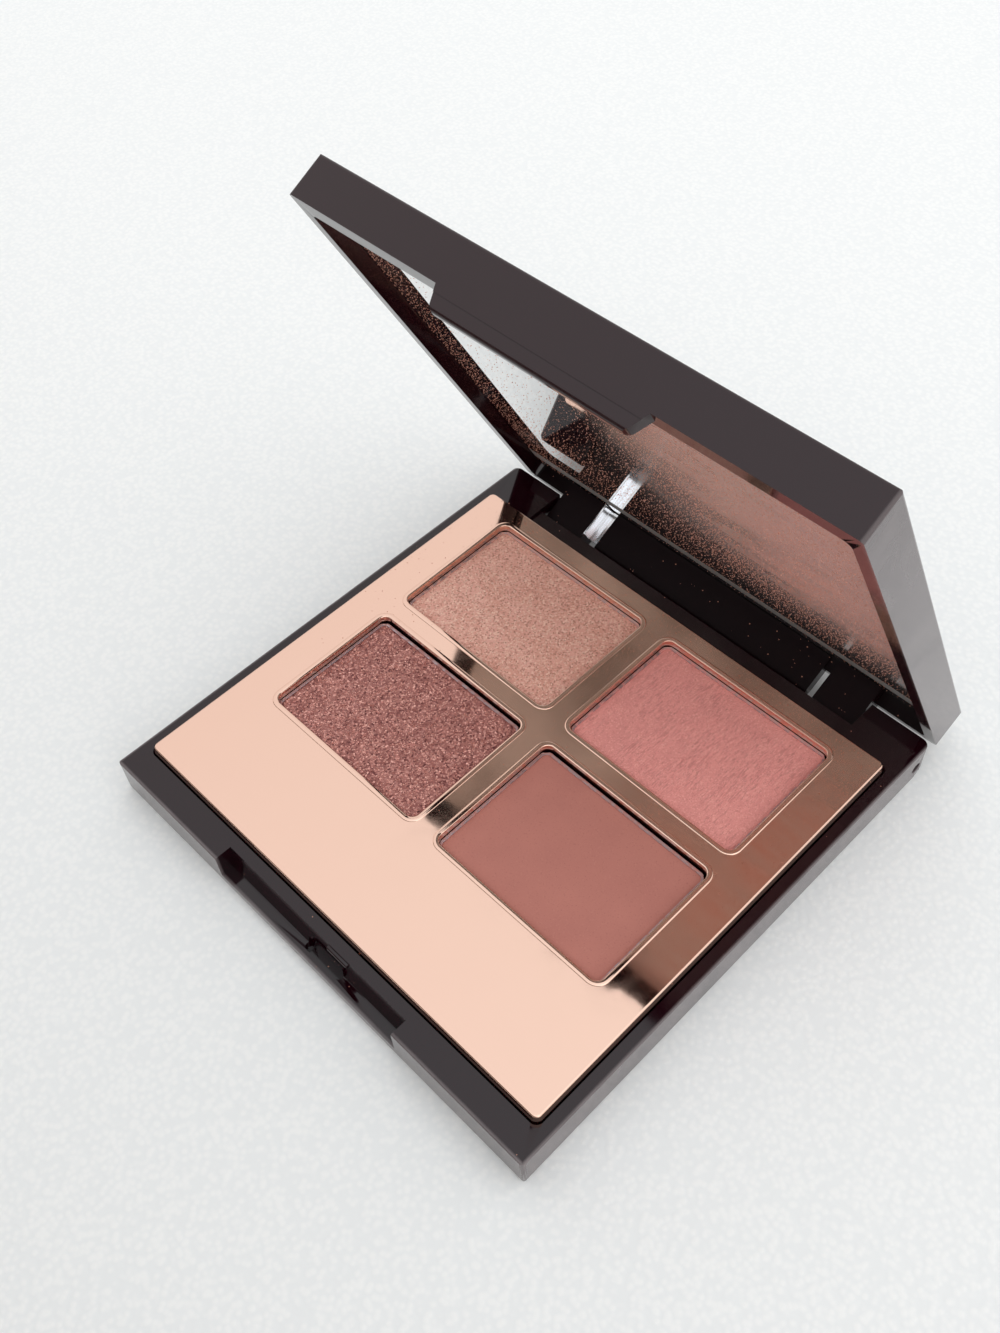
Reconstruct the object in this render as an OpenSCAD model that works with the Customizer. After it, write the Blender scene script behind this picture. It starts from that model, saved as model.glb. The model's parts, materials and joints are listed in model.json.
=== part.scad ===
// Four-pan eyeshadow palette: a slim hinged compact with a framed tray of powders and a mirror in its lid.
// The case is drawn closed, underside on z = 0, hinge at the back, and the lid is then swung open.

/* [Case] */
// width of the case, left to right
case_w = 70; // [66:0.5:80]
// depth of the case, front to back
case_d = 69.7; // [66:0.1:80]
// height of the base up to its rim
base_h = 5.5; // [5.2:0.1:7]
// thickness of the lid
lid_t = 5.2; // [4.4:0.1:6]
// gap between the base rim and the lid rim when closed, where the insert's wall shows
seam_gap = 1.1; // [1:0.05:1.3]
// thickness of the base floor
floor_t = 1.2; // [0.9:0.1:1.5]
// radius of the two front upright corners
corner_front_r = 0.5; // [0.3:0.1:1.5]
// radius of the two rear upright corners
corner_rear_r = 1.1; // [0.6:0.1:2]
// radius of the base's lower front and side edges
base_edge_r = 0.5; // [0.3:0.1:2]
// radius of the base's lower rear edge
base_back_r = 4; // [2:0.1:4.2]
// radius of the base's rim edge
rim_r = 0.2; // [0.1:0.05:0.3]
// radius of the lid's upper front and side edges
lid_edge_r = 0.4; // [0.2:0.1:1.2]
// radius of the lid's upper rear edge
lid_back_r = 1.3; // [0.5:0.1:2]
// angle of the lid as stored, 0 is closed
rest_angle = 63; // [0:1:93]

/* [Walls] */
// thickness of the left and right walls, base and lid
side_wall = 1.6; // [1.2:0.1:2]
// width of the base's front border, face to insert recess
base_front_wall = 3.7; // [3.3:0.05:6]
// thickness of the lid's front wall
lid_front_wall = 2.65; // [1.9:0.05:4]
// thickness of the lid's rear wall
lid_rear_wall = 1.35; // [1.1:0.05:1.6]
// width of the ledge that carries the insert
ledge_w = 0.6; // [0.4:0.1:1.2]
// depth of that ledge below the rim
ledge_drop = 1.35; // [1:0.05:1.6]
// thickness of the wall between insert and hinge well
well_wall = 2.55; // [1:0.05:3]
// how far that wall stays below the rim
well_wall_drop = 0.45; // [0.2:0.05:0.8]
// thickness of the ribs round the pans
rib_t = 1; // [0.7:0.1:1.2]
// number of ribs under the front of the insert
front_ribs = 3; // [1:1:5]

/* [Insert plate] */
// thickness of the insert plate's face
plate_t = 0.9; // [0.7:0.05:1]
// how far the plate's face stands above the rim
plate_rise = 1.05; // [0.8:0.05:1.2]
// thickness of the skirt under the plate's edge
skirt_t = 0.9; // [0.7:0.05:1.1]
// how far the plate's wall leans in above the rim
plate_lean = 0.25; // [0.1:0.05:0.4]
// radius of the plate's upper edge
plate_edge_r = 0.25; // [0.1:0.05:0.4]
// gap round the plate
plate_gap = 0.1; // [0.05:0.05:0.2]
// radius of the plate's corners
plate_corner_r = 1; // [0.5:0.1:2]
// width of a window
window_w = 25.6; // [20:0.1:26.5]
// depth of a window, front to back
window_d = 18.65; // [14:0.05:19]
// radius of a window's corners
window_r = 1.1; // [0.8:0.1:3]
// width of the bar between left and right windows
col_bar = 3.9; // [3.6:0.1:6]
// width of the bar between front and rear windows
row_bar = 3.4; // [3.2:0.1:6]
// width of the band behind the rear windows
rear_band = 3.4; // [3:0.1:6]
// width of the raised bead round a window
bead_w = 0.7; // [0.3:0.05:0.9]
// height of that bead above the face
bead_h = 0.12; // [0.05:0.01:0.2]

/* [Pans and powders] */
// gap between a pan and its window
pan_gap = 0.15; // [0.1:0.05:0.3]
// thickness of the pan's sheet
pan_wall = 0.3; // [0.2:0.05:0.5]
// how far the pan's rim lies below the plate's underside
pan_sink = 0.05; // [0.03:0.01:0.3]
// how far the front pans sit forward in their windows
pan_shift = 0.2; // [0:0.05:0.2]
// how far the powder lies below the pan's rim
powder_drop = 0.05; // [0:0.05:0.5]
// gap between a pan and the ribs round it
nest_gap = 0.25; // [0.25:0.05:0.4]
// thickness of the adhesive pad under a pan
pad_t = 0.2; // [0.1:0.05:0.3]
// width of the adhesive pad
pad_w = 18; // [10:0.5:19]
// depth of the adhesive pad
pad_d = 12; // [8:0.5:13]

/* [Opening notch and tab] */
// width of the thumb notch in the base
notch_w = 30.6; // [28:0.2:44]
// height of the notch's floor
notch_floor = 1.65; // [1.5:0.05:2]
// depth of the notch at the rim
notch_depth = 2.25; // [2.1:0.05:2.4]
// slope of the notch's back wall, rim to floor
notch_draft = 0.6; // [0:0.05:0.7]
// width of the lid's tab at its root
tab_w = 26.6; // [18:0.2:27.5]
// how far each end of the tab slopes in
tab_taper = 0.9; // [0.2:0.1:2]
// finger gap between the notch's floor and the tab
finger_gap = 2.5; // [2.3:0.05:2.6]
// thickness of the tab
tab_t = 1.5; // [1.2:0.05:1.6]
// radius of the tab's lower edges and corners
tab_edge_r = 0.5; // [0.2:0.1:0.55]
// set-back of the tab's lower face
tab_step = 0.08; // [0.03:0.01:0.15]
// height of the tab's upper band below the lid rim
tab_band = 0.8; // [0.4:0.1:1.2]
// place of the catch bead, right of the middle
catch_x = 4.2; // [-6:0.1:6]
// width of the catch bead
catch_w = 3.4; // [3:0.1:6]
// height of the catch bead
catch_h = 0.5; // [0.4:0.05:0.6]
// height of the bead's top above the notch floor
catch_top = 3.6; // [3.5:0.05:3.7]
// place of the pocket in front of and under the catch, right of the middle
pocket_x = 1.9; // [-6:0.1:6]
// width of that pocket
pocket_w = 6.2; // [3:0.1:8]
// its depth, front to back
pocket_d = 1.1; // [0.8:0.05:1.2]
// thickness left under it
pocket_floor = 0.5; // [0.4:0.05:0.8]
// running gap between the catch bead and the tab's rib
catch_gap = 0.1; // [0.08:0.01:0.15]
// how far the tab's rib stands out
catch_rib = 0.15; // [0.1:0.01:0.2]

/* [Hinge] */
// distance of the hinge axis from the rear face
hinge_back = 2.2; // [2:0.05:2.4]
// height of the hinge axis
hinge_z = 2.7; // [2.5:0.05:2.8]
// diameter of the hinge pins
pin_d = 1.5; // [1:0.1:1.6]
// running gap round a pin in the lid, on the radius
pin_gap = 0.05; // [0.03:0.01:0.09]
// how far a pin's end lies inside the side face
pin_recess = 0.8; // [0.3:0.1:2]
// gap beyond a pin's inner end
pin_end_gap = 0.2; // [0.1:0.1:0.6]
// width of a base corner post
post_w = 8.5; // [6:0.1:12]
// width of a lid hinge lug
lug_w = 6.3; // [4:0.1:8]
// radius of a lug round the pin
lug_r = 1.4; // [1.3:0.05:1.5]
// gap between a lug and its post
lug_gap = 0.3; // [0.2:0.05:0.5]
// gap between a lug and the wall in front of it
well_gap = 0.25; // [0.2:0.05:0.4]
// wall that closes a lug's bore
lug_cap = 0.4; // [0.3:0.1:1]
// width of the slot between a lug and the middle flange
slot_w = 1.7; // [1:0.1:3]
// thickness of the middle flange
flange_t = 1.75; // [1.5:0.05:1.9]
// height of the flange's foot
flange_foot = 2.3; // [2:0.05:2.6]
// thickness of the steel leaf
leaf_t = 0.3; // [0.2:0.05:0.3]
// how far the leaf's foot lies above the hinge axis
leaf_rise = 0.6; // [0.3:0.05:1]
// least gap between the posts and the lid's rim as it swings
swing_gap = 0.15; // [0.1:0.05:0.3]

/* [Mirror and label] */
// depth of the mirror's face inside the lid rim
mirror_recess = 1.85; // [1.5:0.05:2]
// thickness of the mirror glass
glass_t = 1.1; // [0.8:0.05:1.3]
// thickness of the adhesive behind the mirror
glue_t = 0.2; // [0.1:0.05:0.3]
// gap round the mirror
mirror_gap = 0.1; // [0.05:0.05:0.3]
// radius of the mirror's corners
mirror_r = 1; // [0.5:0.1:3]
// margin of the adhesive inside the mirror's edge
glue_margin = 3; // [1:0.5:6]
// width of the label under the base
label_w = 40; // [20:1:56]
// depth of the label
label_d = 26; // [14:1:44]
// thickness of the label
label_t = 0.15; // [0.1:0.05:0.2]
// how far the label lies above the underside
label_sink = 0.05; // [0.02:0.01:0.1]

/* [Hidden] */
$fn = 64;
half_w = case_w / 2;
half_d = case_d / 2;
// hinge
hinge_y = half_d - hinge_back;
swing_r = base_h + seam_gap - hinge_z - swing_gap;
post_x = half_w - post_w;
lug_out = post_x - lug_gap;
lug_in = lug_out - lug_w;
flange_x = lug_in - slot_w;
well_y = hinge_y - lug_r - well_gap;
pin_out = half_w - pin_recess;
bore_end = lug_in + lug_cap;
pin_in = bore_end + pin_end_gap;
flange_y = half_d - flange_t;
// insert recess and plate
recess_x = half_w - side_wall;
recess_front = -half_d + base_front_wall;
recess_rear = well_y - well_wall;
ledge_z = base_h - ledge_drop;
plate_top = base_h + plate_rise;
plate_under = plate_top - plate_t;
// windows, left (-1) or right (1), front or rear row
column_x = (col_bar + window_w) / 2;
rear_row_y = recess_rear - plate_gap - rear_band - window_d / 2;
front_row_y = rear_row_y - window_d - row_bar;
// pans
pan_w = window_w - 2 * pan_gap;
pan_d = window_d - 2 * pan_gap;
pan_r = window_r - pan_gap;
pan_under = floor_t + pad_t;
pan_rim = plate_under - pan_sink;
nest_edge = nest_gap + rib_t;
nest_w = pan_w + 2 * nest_edge;
nest_d = pan_d + 2 * nest_edge;
nest_front = front_row_y - nest_d / 2;
// lid, closed
lid_rim = base_h + seam_gap;
lid_top = lid_rim + lid_t;
mirror_z = lid_rim + mirror_recess;
glass_top = mirror_z + glass_t;
lid_roof = glass_top + glue_t;
lid_front = -half_d + lid_front_wall;
lid_rear = half_d - lid_rear_wall;
lug_top = mirror_z - mirror_gap;
// tab and catch
tab_foot = notch_floor + finger_gap;
tab_in = -half_d + tab_t;
rib_tip = tab_in + catch_rib;
bead_face = rib_tip + catch_gap;
bead_top = notch_floor + catch_top;
bead_under = bead_top - catch_h;
notch_back = -half_d + notch_depth;
pocket_back = bead_face + 0.2;
rib_top = bead_under - 0.1;
rib_foot = rib_top - 0.1 - 2 * catch_rib;

// rectangle with its own radius at each corner: lower left, lower right, upper right, upper left
module soft_rect(x0, y0, x1, y1, ll, lr, ur, ul) {
  difference() {
    translate([x0, y0]) square([x1 - x0, y1 - y0]);
    if (ll > 0) translate([x0 - 1, y0 - 1]) square(ll + 1);
    if (lr > 0) translate([x1 - lr, y0 - 1]) square(lr + 1);
    if (ur > 0) translate([x1 - ur, y1 - ur]) square(ur + 1);
    if (ul > 0) translate([x0 - 1, y1 - ul]) square(ul + 1);
  }
  if (ll > 0) translate([x0 + ll, y0 + ll]) circle(ll);
  if (lr > 0) translate([x1 - lr, y0 + lr]) circle(lr);
  if (ur > 0) translate([x1 - ur, y1 - ur]) circle(ur);
  if (ul > 0) translate([x0 + ul, y1 - ul]) circle(ul);
}

// centred rectangle with one corner radius
module round_rect(w, d, r) {
  soft_rect(-w / 2, -d / 2, w / 2, d / 2, r, r, r, r);
}

// a y-z outline drawn out along x, and an x-z outline drawn out along y
module along_x(x0, x1) {
  translate([x0, 0, 0]) rotate([90, 0, 90]) linear_extrude(x1 - x0) children();
}

module along_y(y0, y1) {
  translate([0, y1, 0]) rotate([90, 0, 0]) linear_extrude(y1 - y0) children();
}

module slab(z0, z1) {
  translate([0, 0, z0]) linear_extrude(z1 - z0) children();
}

// children at one window: side -1 is left, 1 is right
module at_window(side, row_y) {
  translate([side * column_x, row_y]) children();
}

// children at one pan, the front ones drawn forward
module at_pan(side, row_y) {
  at_window(side, row_y) translate([0, row_y == front_row_y ? -pan_shift : 0]) children();
}

// children at all four windows
module each_window() {
  for (side = [-1, 1], row_y = [front_row_y, rear_row_y]) at_window(side, row_y) children();
}

// upright outline shared by base and lid
module case_outline() {
  soft_rect(-half_w, -half_d, half_w, half_d,
    corner_front_r, corner_front_r, corner_rear_r, corner_rear_r);
}

// y-z outline below the seam
module base_side() {
  soft_rect(-half_d, 0, half_d, base_h, base_edge_r, base_back_r, 0, rim_r);
}

// y-z outline that lets the lid's rear rim swing past
module swing_side() {
  translate([-half_d - 1, -1]) square([hinge_y + half_d + 1, base_h + 2]);
  translate([hinge_y, hinge_z]) circle(swing_r);
}

module base_block() {
  intersection() {
    slab(0, base_h) case_outline();
    along_x(-half_w - 1, half_w + 1) base_side();
    along_x(-half_w - 1, half_w + 1) swing_side();
    along_y(-half_d - 1, half_d + 1)
      soft_rect(-half_w, 0, half_w, base_h, base_edge_r, base_edge_r, rim_r, rim_r);
  }
}

// plan of the hollow under the insert
module hollow_plan() {
  soft_rect(-recess_x + ledge_w, recess_front + ledge_w, recess_x - ledge_w, recess_rear - ledge_w,
    plate_corner_r, plate_corner_r, plate_corner_r, plate_corner_r);
}

// plan of the ribs round the pans
module nest_plan() {
  each_window() difference() {
    round_rect(nest_w, nest_d, pan_r + nest_edge);
    round_rect(nest_w - 2 * rib_t, nest_d - 2 * rib_t, pan_r + nest_gap);
  }
}

// hollow up to the ledge, less the ribs round the pans and under the front band
module base_hollow() {
  difference() {
    slab(floor_t, ledge_z) hollow_plan();
    slab(floor_t - 1, ledge_z + 1) nest_plan();
    for (i = [1 : front_ribs])
      translate([-recess_x + 2 * recess_x * i / (front_ribs + 1) - rib_t / 2, recess_front, floor_t - 1])
        cube([rib_t, nest_front + rib_t / 2 - recess_front, base_h]);
  }
}

// room for the lid's lugs and flange between the posts
module hinge_well() {
  translate([-post_x, well_y, -1]) cube([2 * post_x, case_d, base_h + 2]);
  translate([-post_x, recess_rear - 1, base_h - well_wall_drop])
    cube([2 * post_x, case_d, base_h]);
}

// thumb notch in the front, its back wall sloping
module notch() {
  along_x(-notch_w / 2, notch_w / 2) polygon([
    [-half_d - 1, notch_floor], [notch_back - notch_draft, notch_floor],
    [notch_back, base_h], [notch_back, base_h + 1], [-half_d - 1, base_h + 1]
  ]);
}

// pocket below the catch bead, rounded at both ends
module catch_pocket() {
  slab(pocket_floor, bead_under)
    translate([pocket_x, pocket_back - pocket_d / 2])
      round_rect(pocket_w, pocket_d, pocket_d / 2 - 0.01);
}

// bead on the notch's back wall, its front corners rounded
module catch_bead() {
  intersection() {
    along_x(-case_w, case_w)
      soft_rect(bead_face, bead_under, notch_back + 0.3, bead_top, catch_h / 3, 0, 0, catch_h / 2);
    slab(bead_under, bead_top) soft_rect(catch_x - catch_w / 2, bead_face, catch_x + catch_w / 2,
      notch_back + 0.3, catch_h * 0.6, catch_h * 0.6, 0, 0);
  }
}

module pin_line(x0, x1, r) {
  translate([x0, hinge_y, hinge_z]) rotate([0, 90, 0]) cylinder(r = r, h = x1 - x0);
}

module base_shell() color("#1d191b") {
  difference() {
    base_block();
    slab(ledge_z, base_h + 1)
      soft_rect(-recess_x, recess_front, recess_x, recess_rear,
        plate_corner_r, plate_corner_r, plate_corner_r, plate_corner_r);
    base_hollow();
    hinge_well();
    notch();
    catch_pocket();
    pin_line(-half_w - 1, -post_x + 1, pin_d / 2);
    pin_line(post_x - 1, half_w + 1, pin_d / 2);
    slab(-1, label_t + label_sink) round_rect(label_w + 2 * plate_gap, label_d + 2 * plate_gap, 1);
  }
  catch_bead();
  slab(ledge_z - 0.5, plate_under) nest_plan();
}

// upright outline of the insert's wall from a to b: straight to the rim, then leaning in to a rounded edge
module leaning_side(a, b) {
  shoulder = plate_top - plate_edge_r;
  polygon([
    [a, ledge_z], [b, ledge_z], [b, base_h], [b - plate_lean, shoulder],
    [a + plate_lean, shoulder], [a, base_h]
  ]);
  soft_rect(a + plate_lean, ledge_z, b - plate_lean, plate_top, 0, 0, plate_edge_r, plate_edge_r);
}

// plan of the insert, drawn in by the inset
module insert_plan(inset) {
  soft_rect(-recess_x + inset, recess_front + inset, recess_x - inset, recess_rear - inset,
    plate_corner_r, plate_corner_r, plate_corner_r, plate_corner_r);
}

module insert_plate() color("#e9b9a0") {
  difference() {
    union() {
      intersection() {
        slab(ledge_z, plate_top) insert_plan(plate_gap);
        along_x(-half_w, half_w) leaning_side(recess_front + plate_gap, recess_rear - plate_gap);
        along_y(-half_d, half_d) leaning_side(-recess_x + plate_gap, recess_x - plate_gap);
      }
      slab(plate_under, plate_top + bead_h) each_window()
        round_rect(window_w + 2 * bead_w, window_d + 2 * bead_w, window_r + bead_w);
    }
    slab(ledge_z - 1, plate_under) insert_plan(plate_gap + skirt_t);
    slab(ledge_z - 1, plate_top + 1) each_window() round_rect(window_w, window_d, window_r);
  }
}

module pan(side, row_y) {
  difference() {
    slab(pan_under, pan_rim) at_pan(side, row_y) round_rect(pan_w, pan_d, pan_r);
    slab(pan_under + pan_wall, pan_rim + 1) at_pan(side, row_y)
      round_rect(pan_w - 2 * pan_wall, pan_d - 2 * pan_wall, pan_r - pan_wall);
  }
}

module powder(side, row_y) {
  slab(pan_under + pan_wall, pan_rim - powder_drop) at_pan(side, row_y)
    round_rect(pan_w - 2 * pan_wall, pan_d - 2 * pan_wall, pan_r - pan_wall);
}

module pan_pad(side, row_y) {
  slab(floor_t, pan_under) at_pan(side, row_y) round_rect(pad_w, pad_d, 1);
}

module pan_back_left() color("#c9c5c3") pan(-1, rear_row_y);
module pan_back_right() color("#c9c5c3") pan(1, rear_row_y);
module pan_front_left() color("#c9c5c3") pan(-1, front_row_y);
module pan_front_right() color("#c9c5c3") pan(1, front_row_y);

module powder_back_left() color("#c59387") powder(-1, rear_row_y);
module powder_back_right() color("#c38680") powder(1, rear_row_y);
module powder_front_left() color("#93605c") powder(-1, front_row_y);
module powder_front_right() color("#b3796f") powder(1, front_row_y);

module pan_pad_back_left() color("#e8e4da") pan_pad(-1, rear_row_y);
module pan_pad_back_right() color("#e8e4da") pan_pad(1, rear_row_y);
module pan_pad_front_left() color("#e8e4da") pan_pad(-1, front_row_y);
module pan_pad_front_right() color("#e8e4da") pan_pad(1, front_row_y);

// pins pressed into the base posts, running in the lid's lugs
module hinge_pin_left() color("#b9b9b9") pin_line(-pin_out, -pin_in, pin_d / 2);
module hinge_pin_right() color("#b9b9b9") pin_line(pin_in, pin_out, pin_d / 2);

module base_label() color("#d8d4d2")
  slab(label_sink, label_sink + label_t) round_rect(label_w, label_d, 1);

// swings what is drawn closed to the stored angle
module opened() {
  translate([0, hinge_y, hinge_z]) rotate([-rest_angle, 0, 0])
    translate([0, -hinge_y, -hinge_z]) children();
}

module lid_block() {
  intersection() {
    slab(lid_rim, lid_top) case_outline();
    along_x(-half_w - 1, half_w + 1)
      soft_rect(-half_d, lid_rim, half_d, lid_top, 0, 0, lid_back_r, lid_edge_r);
    along_y(-half_d - 1, half_d + 1)
      soft_rect(-half_w, lid_rim, half_w, lid_top, 0, 0, lid_edge_r, lid_edge_r);
  }
}

// tab that drops into the notch: its front view cut by its side view
module lid_tab() {
  intersection() {
    along_y(-half_d - 1, lid_front) polygon([
      [-tab_w / 2, lid_rim + 0.1], [-tab_w / 2 + tab_taper, tab_foot + tab_edge_r],
      [-tab_w / 2 + tab_taper + tab_edge_r, tab_foot], [tab_w / 2 - tab_taper - tab_edge_r, tab_foot],
      [tab_w / 2 - tab_taper, tab_foot + tab_edge_r], [tab_w / 2, lid_rim + 0.1]
    ]);
    along_x(-tab_w, tab_w) union() {
      soft_rect(-half_d + tab_step, tab_foot, tab_in, lid_rim + 0.1, tab_edge_r, tab_edge_r, 0, 0);
      translate([-half_d, lid_rim - tab_band]) square([tab_t, tab_band + 0.1]);
    }
  }
  along_x(catch_x - catch_w / 2 + 0.5, catch_x + catch_w / 2 - 0.5)
    polygon([
      [tab_in - 0.4, rib_foot], [tab_in, rib_foot], [rib_tip, rib_foot + catch_rib],
      [rib_tip, rib_top - catch_rib], [tab_in, rib_top], [tab_in - 0.4, rib_top]
    ]);
}

// y-z outline of a hinge lug
module lug_side() {
  intersection() {
    union() {
      translate([hinge_y, hinge_z]) circle(lug_r);
      translate([hinge_y - lug_r, hinge_z]) square([lug_r + hinge_back, lug_top - hinge_z]);
    }
    union() {
      base_side();
      translate([-half_d, hinge_z + 1]) square([case_d, lid_top]);
    }
  }
}

// y-z outline of the middle flange with its rounded foot
module flange_side() {
  foot_r = flange_t / 2;
  intersection() {
    union() {
      translate([flange_y + foot_r, flange_foot + foot_r]) circle(foot_r);
      translate([flange_y, flange_foot + foot_r])
        square([flange_t, lug_top - flange_foot - foot_r]);
    }
    union() {
      base_side();
      translate([-half_d, hinge_z + 1]) square([case_d, lid_top]);
    }
  }
}

module lid_shell() color("#2a2124") opened() {
  difference() {
    union() {
      difference() {
        lid_block();
        slab(lid_rim - 1, lid_roof)
          soft_rect(-recess_x, lid_front, recess_x, lid_rear, mirror_r, mirror_r, mirror_r, mirror_r);
      }
      lid_tab();
      along_x(-flange_x, flange_x) flange_side();
      along_x(-lug_out, -lug_in) lug_side();
      along_x(lug_in, lug_out) lug_side();
    }
    pin_line(-lug_out - 1, -bore_end, pin_d / 2 + pin_gap);
    pin_line(bore_end, lug_out + 1, pin_d / 2 + pin_gap);
  }
}

module mirror_outline(inset) {
  soft_rect(-recess_x + inset, lid_front + inset, recess_x - inset, lid_rear - inset,
    mirror_r, mirror_r, mirror_r, mirror_r);
}

module mirror_glass() color("#cfd0d0") opened()
  slab(mirror_z, glass_top) mirror_outline(mirror_gap);

module mirror_adhesive() color("#e2ded6") opened()
  slab(glass_top, lid_roof) mirror_outline(glue_margin);

// bent steel strip in the left slot: one leg on the lug, one on the lid's rear wall
module hinge_leaf() color("#d6d6d6") opened()
  slab(hinge_z + leaf_rise, lug_top) {
    translate([-lug_in, lid_rear - leaf_t]) square([slot_w, leaf_t]);
    translate([-lug_in, hinge_y - lug_r]) square([leaf_t, lid_rear - hinge_y + lug_r]);
  }

base_shell();
insert_plate();
pan_back_left();
pan_back_right();
pan_front_left();
pan_front_right();
powder_back_left();
powder_back_right();
powder_front_left();
powder_front_right();
pan_pad_back_left();
pan_pad_back_right();
pan_pad_front_left();
pan_pad_front_right();
hinge_pin_left();
hinge_pin_right();
base_label();
lid_shell();
mirror_glass();
mirror_adhesive();
hinge_leaf();
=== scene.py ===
import bmesh
import bpy
import json
import math
import numpy as np
from mathutils import Matrix, Vector


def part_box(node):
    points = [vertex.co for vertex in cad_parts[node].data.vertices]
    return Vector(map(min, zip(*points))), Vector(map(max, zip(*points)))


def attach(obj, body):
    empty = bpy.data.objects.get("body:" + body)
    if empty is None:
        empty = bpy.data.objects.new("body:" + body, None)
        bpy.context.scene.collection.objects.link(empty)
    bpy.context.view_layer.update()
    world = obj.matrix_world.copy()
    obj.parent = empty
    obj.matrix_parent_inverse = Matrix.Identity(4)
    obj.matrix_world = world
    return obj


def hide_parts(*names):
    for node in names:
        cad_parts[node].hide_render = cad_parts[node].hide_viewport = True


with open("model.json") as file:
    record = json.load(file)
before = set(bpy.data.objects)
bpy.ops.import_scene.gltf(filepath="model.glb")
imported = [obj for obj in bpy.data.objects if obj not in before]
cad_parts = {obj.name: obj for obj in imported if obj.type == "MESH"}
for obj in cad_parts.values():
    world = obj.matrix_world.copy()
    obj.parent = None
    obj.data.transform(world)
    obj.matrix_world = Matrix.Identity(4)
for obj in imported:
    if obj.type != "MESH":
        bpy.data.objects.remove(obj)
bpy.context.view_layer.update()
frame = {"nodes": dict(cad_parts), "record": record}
mm = 0.001  # the scene is in metres, and the sizes below are in millimetres
print("frame loaded:", len(frame["nodes"]), "nodes")

# in millimetres and degrees
view = dict(target=(-14.267, 10.460, 0.0), azimuth=48.962, elevation=52.572, roll=-4.642,
            distance=180.568, focalPixels=1362.967, framePixels=1333)

table = dict(colour="#eff0ef", valleyShade="#e9ebeb", size=1600, grain=0.7, grainDepth=0.05, pebbled=0.7,
             valleys=(0.25, 0.6), roughness=0.55)

card = dict(dark="#827973", light="#b6ada7", distance=170, left=-420, right=300, height=165, patch=34,
            patches=(0.4, 0.62), roughness=0.9)

sky = dict(low="#d9d8d6", middle="#edecec", high="#f7fcff", bend=0.76, strength=1.21, side=70, rise=40,
           sideStrength=0.95, sideSpread=4.0)


def toLinear(hexColour):
    values = [int(hexColour[i:i + 2], 16) / 255 for i in (1, 3, 5)]
    return tuple(v / 12.92 if v <= 0.04045 else ((v + 0.055) / 1.055) ** 2.4 for v in values) + (1.0,)


# sets or links a node's sockets, by name or in the order the editor shows them. A node given as a value
# stands for its first output, and a hex value for its colour
def feed(node, inputs):
    shown = [socket for socket in node.inputs if socket.enabled]
    for name, value in (inputs.items() if isinstance(inputs, dict) else enumerate(inputs)):
        socket = node.inputs[name] if isinstance(name, str) else shown[name]
        if isinstance(value, bpy.types.Node):
            value = next(output for output in value.outputs if output.enabled)
        if isinstance(value, bpy.types.NodeSocket):
            node.id_data.links.new(value, socket)
        elif isinstance(value, str) and value.startswith("#"):
            socket.default_value = toLinear(value)
        else:
            socket.default_value = value


def addNode(tree, kind, inputs=(), **settings):
    node = tree.nodes.new(kind)
    for name, value in settings.items():
        setattr(node, name, value)
    feed(node, inputs)
    return node


def newMaterial(name):
    material = bpy.data.materials.new(name)
    material.use_nodes = True
    tree = material.node_tree
    tree.nodes.clear()
    coords = addNode(tree, "ShaderNodeTexCoord")
    spot = addNode(tree, "ShaderNodeMapping",  # one unit of every pattern is a millimetre
                   {"Vector": coords.outputs["Object"], "Scale": (1000, 1000, 1000)})
    surface = addNode(tree, "ShaderNodeBsdfPrincipled")
    addNode(tree, "ShaderNodeOutputMaterial", {"Surface": surface})
    return material, tree, spot, surface


# bump height in millimetres
def raiseSurface(tree, surface, height, depth):
    bump = addNode(tree, "ShaderNodeBump", {"Height": height, "Strength": 1.0, "Distance": depth * mm})
    feed(surface, {"Normal": bump})


def placeCamera():
    azimuth, elevation, roll = (math.radians(view[k]) for k in ("azimuth", "elevation", "roll"))
    back = Vector((math.sin(azimuth) * math.cos(elevation), -math.cos(azimuth) * math.cos(elevation),
                   math.sin(elevation)))
    right = Vector((math.cos(azimuth), math.sin(azimuth), 0))
    up = back.cross(right)
    tiltedRight = right * math.cos(roll) + up * math.sin(roll)
    tiltedUp = up * math.cos(roll) - right * math.sin(roll)
    camera = bpy.data.objects.new("camera", bpy.data.cameras.new("camera"))
    bpy.context.scene.collection.objects.link(camera)
    camera.data.lens = view["focalPixels"] * camera.data.sensor_width / view["framePixels"]
    camera.data.clip_start, camera.data.clip_end = 0.01, 10
    place = Matrix((tiltedRight, tiltedUp, back)).transposed().to_4x4()
    place.translation = (Vector(view["target"]) + back * view["distance"]) * mm
    camera.matrix_world = place
    bpy.context.scene.camera = camera


def stageSheet(name, corners, material):
    mesh = bpy.data.meshes.new(name)
    mesh.from_pydata([tuple(c * mm for c in corner) for corner in corners], [], [(0, 1, 2, 3)])
    sheet = bpy.data.objects.new(name, mesh)
    bpy.context.scene.collection.objects.link(sheet)
    mesh.materials.append(material)
    return sheet
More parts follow.
